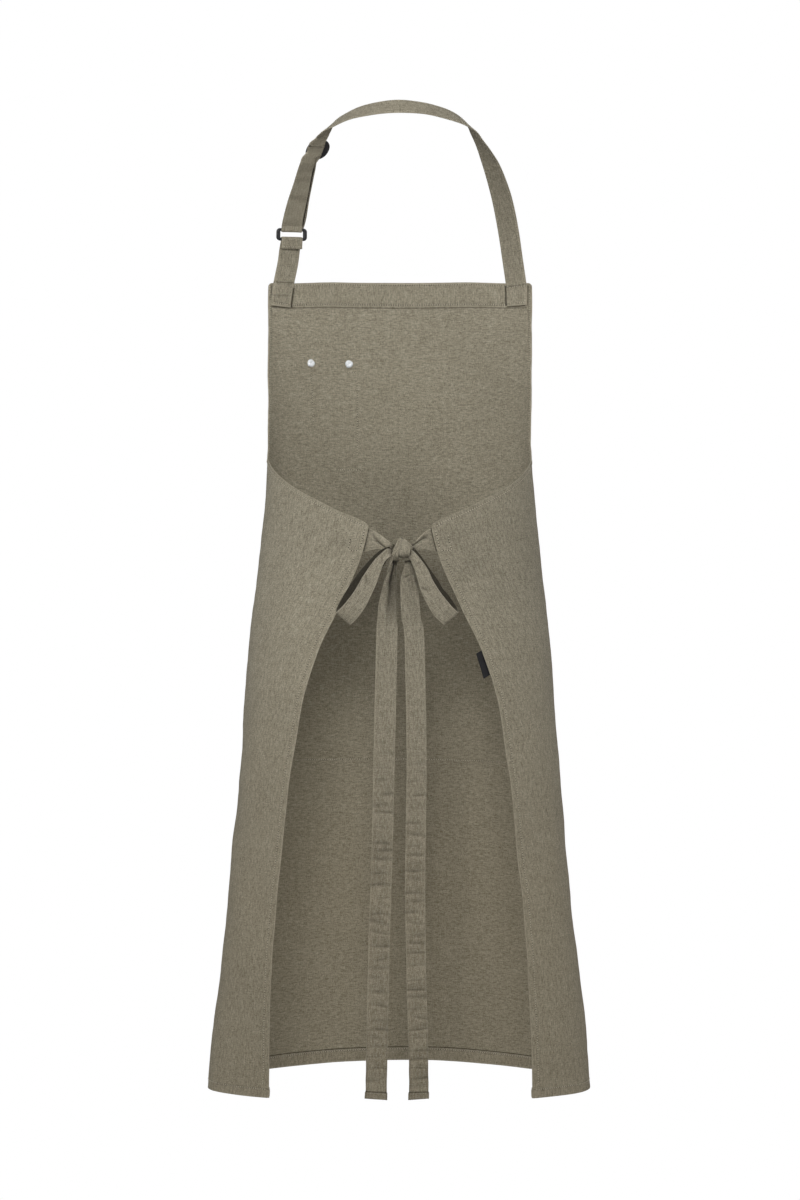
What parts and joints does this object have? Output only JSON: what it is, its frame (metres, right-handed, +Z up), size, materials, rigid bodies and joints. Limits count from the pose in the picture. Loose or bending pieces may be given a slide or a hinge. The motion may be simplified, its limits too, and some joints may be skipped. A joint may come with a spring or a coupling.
{
  "type": "bib apron",
  "caption": "Cloth bib apron in its worn form: wrapped skirt and bib, adjustable neck strap with slider and ring, waist ties in a bow at the back.",
  "frame": {"origin": "inner face of the neck strap at the nape, at the centre line, where the apron hangs on the wearer", "axes": "+Z up, +Y towards the wearer's front (the bib side), +X towards the wearer's right; the side seams' line is 57 mm in front of the origin"},
  "size_m": [0.4209, 0.2706, 1.0752],
  "materials": {
    "cloth": "fine plain weave, grey-olive melange",
    "buckle_black": "satin black",
    "tab_black": "woven black tab, bare",
    "rivet_metal": "satin"
  },
  "bodies": {
    "root": {"apron_body": "cloth", "neck_strap": "cloth", "ring_strap": "cloth", "tie_left": "cloth", "tie_right": "cloth", "tie_knot": "cloth", "bow_loop_left": "cloth", "bow_loop_right": "cloth", "tie_tail_left": "cloth", "tie_tail_right": "cloth", "slider_buckle": "buckle_black", "strap_ring": "buckle_black", "label_tab": "tab_black", "rivet_left": "rivet_metal", "rivet_right": "rivet_metal"}
  },
  "joints": []
}
